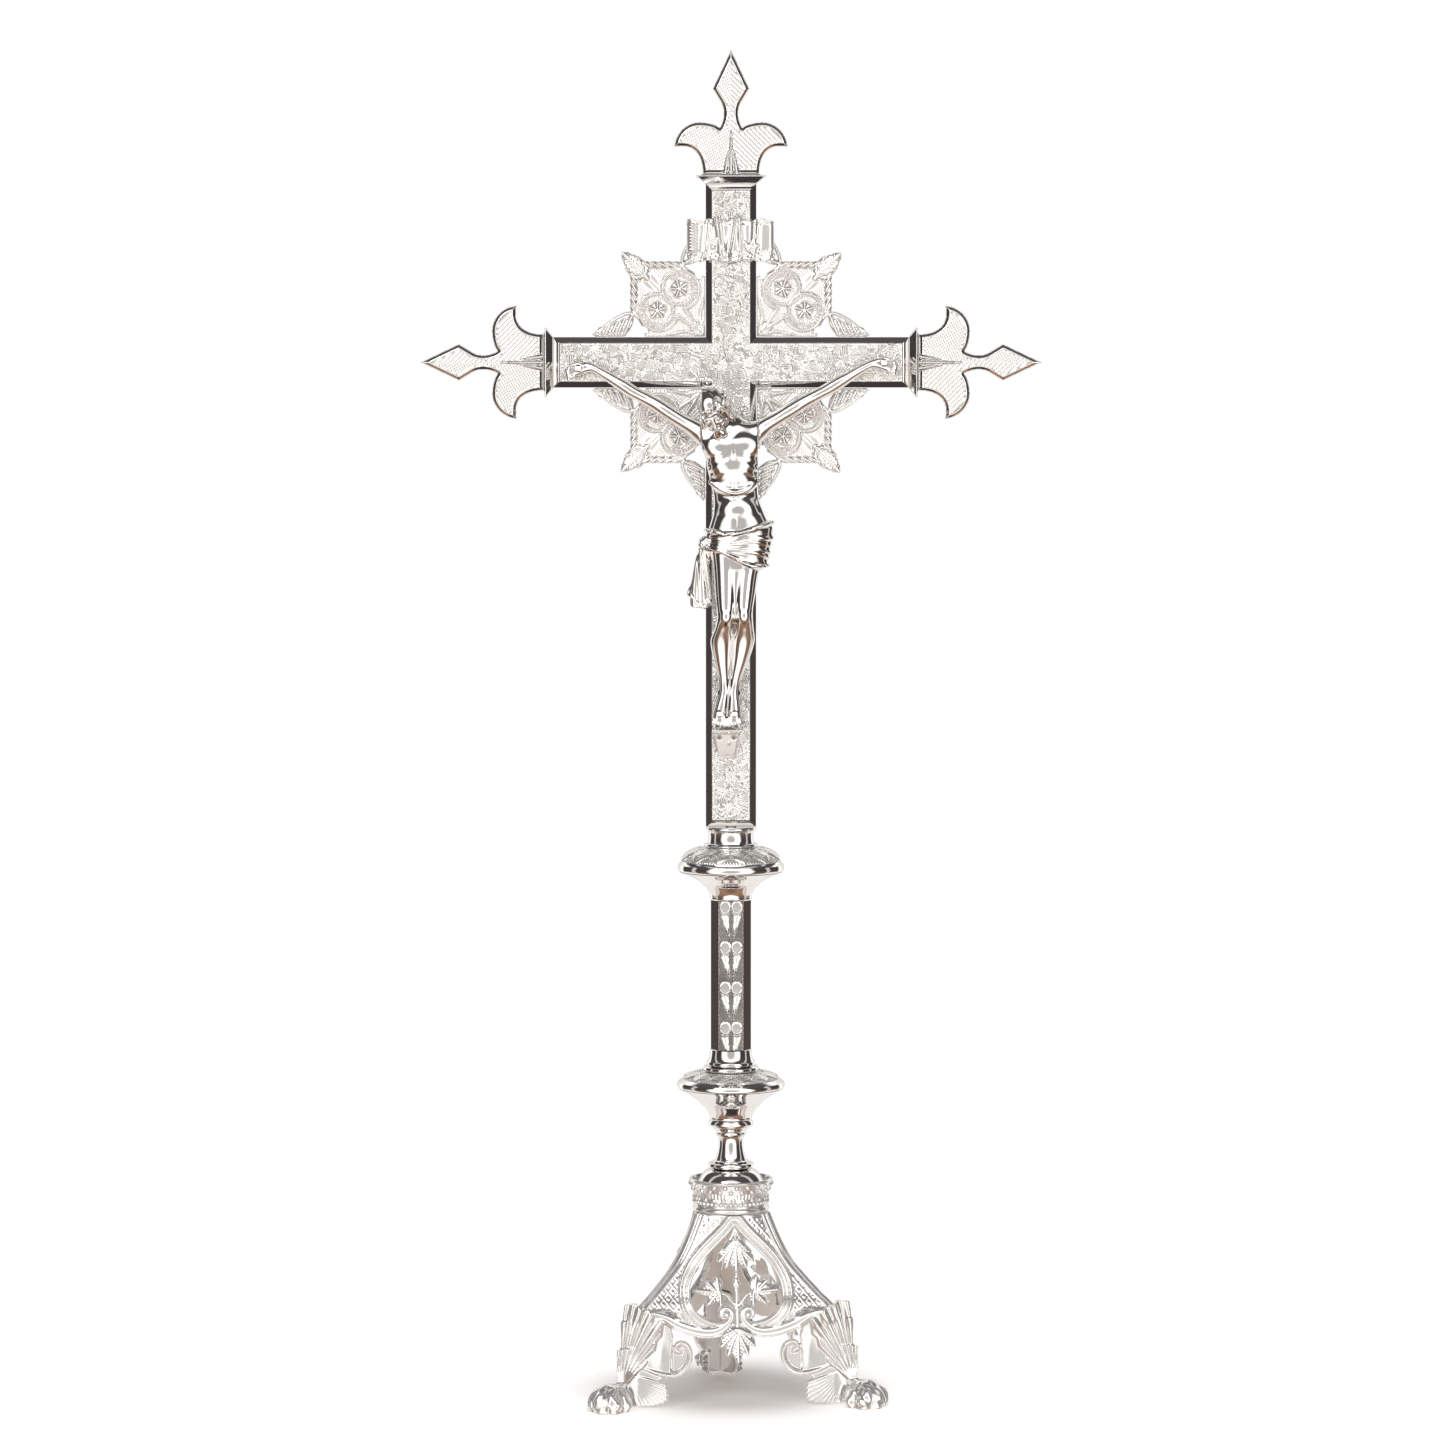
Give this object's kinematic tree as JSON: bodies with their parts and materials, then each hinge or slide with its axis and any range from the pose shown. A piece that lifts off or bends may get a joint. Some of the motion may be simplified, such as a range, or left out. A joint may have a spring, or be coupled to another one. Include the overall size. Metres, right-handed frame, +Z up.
{
  "type": "altar cross",
  "caption": "Standing silver-plated altar cross: three-sided openwork foot, knopped stem with faceted column, and a cross with fleur-de-lis ends, corner scrollwork and a corpus.",
  "frame": {"origin": "on the floor, under the middle of the bounding box; the tie rod's axis stands 14.7 mm in front of it because the rear foot reaches further back", "axes": "+Z up along the stem, +Y towards the back, -Y is the front with the corpus, +X to the right of a viewer in front"},
  "size_m": [0.2934, 0.1324, 0.6387],
  "materials": {
    "silver_polished": "polished silver plate",
    "silver_engraved": "engraved and stippled silver plate with bright edges",
    "silver_cast": "cast and chased silver plate, darker in the hollows",
    "steel": "plain turned steel"
  },
  "bodies": {
    "foot": {"base_panel_front": "silver_cast", "base_panel_right": "silver_cast", "base_panel_left": "silver_cast", "vine_spray_front": "silver_cast", "vine_spray_right": "silver_cast", "vine_spray_left": "silver_cast", "foot_front_left": "silver_cast", "foot_front_right": "silver_cast", "foot_rear": "silver_cast", "base_top_plate": "silver_cast", "crown_collar": "silver_cast", "base_dome": "silver_polished"},
    "cross": {"stem_ring": "silver_polished", "baluster_neck": "silver_polished", "baluster_cup": "silver_polished", "lower_knop_under": "silver_polished", "lower_knop_top": "silver_engraved", "column_foot_ring": "silver_polished", "column_foot": "silver_polished", "column": "silver_engraved", "upper_knop_under": "silver_polished", "upper_knop_top": "silver_engraved", "neck_ring": "silver_polished", "cross_socket": "silver_polished", "shaft_ring": "silver_polished", "tie_rod": "steel", "tie_washer": "steel", "tie_nut": "steel", "cross_frame": "silver_polished", "front_panel": "silver_engraved", "back_panel": "silver_polished", "shaft_plug": "steel", "end_cap_right": "silver_polished", "end_cap_left": "silver_polished", "end_cap_top": "silver_polished", "finial_right": "silver_engraved", "finial_left": "silver_engraved", "finial_top": "silver_engraved", "corner_ornament_upper_right": "silver_cast", "corner_ornament_upper_left": "silver_cast", "corner_ornament_lower_left": "silver_cast", "corner_ornament_lower_right": "silver_cast", "titulus_scroll": "silver_cast", "footrest": "silver_cast", "footrest_pin": "silver_polished", "corpus_body": "silver_cast", "corpus_arm_left": "silver_cast", "corpus_arm_right": "silver_cast", "nail_left_hand": "silver_polished", "nail_right_hand": "silver_polished", "nail_left_foot": "silver_polished", "nail_right_foot": "silver_polished", "nut_left_hand": "steel", "nut_right_hand": "steel", "nut_left_foot": "steel", "nut_right_foot": "steel"}
  },
  "joints": [
    {"name": "stem_turn", "type": "hinge", "parent": "foot", "child": "cross", "pos_m": [0, -0.01469, 0.1094], "axis": [0, 0, 1], "continuous": true}
  ]
}
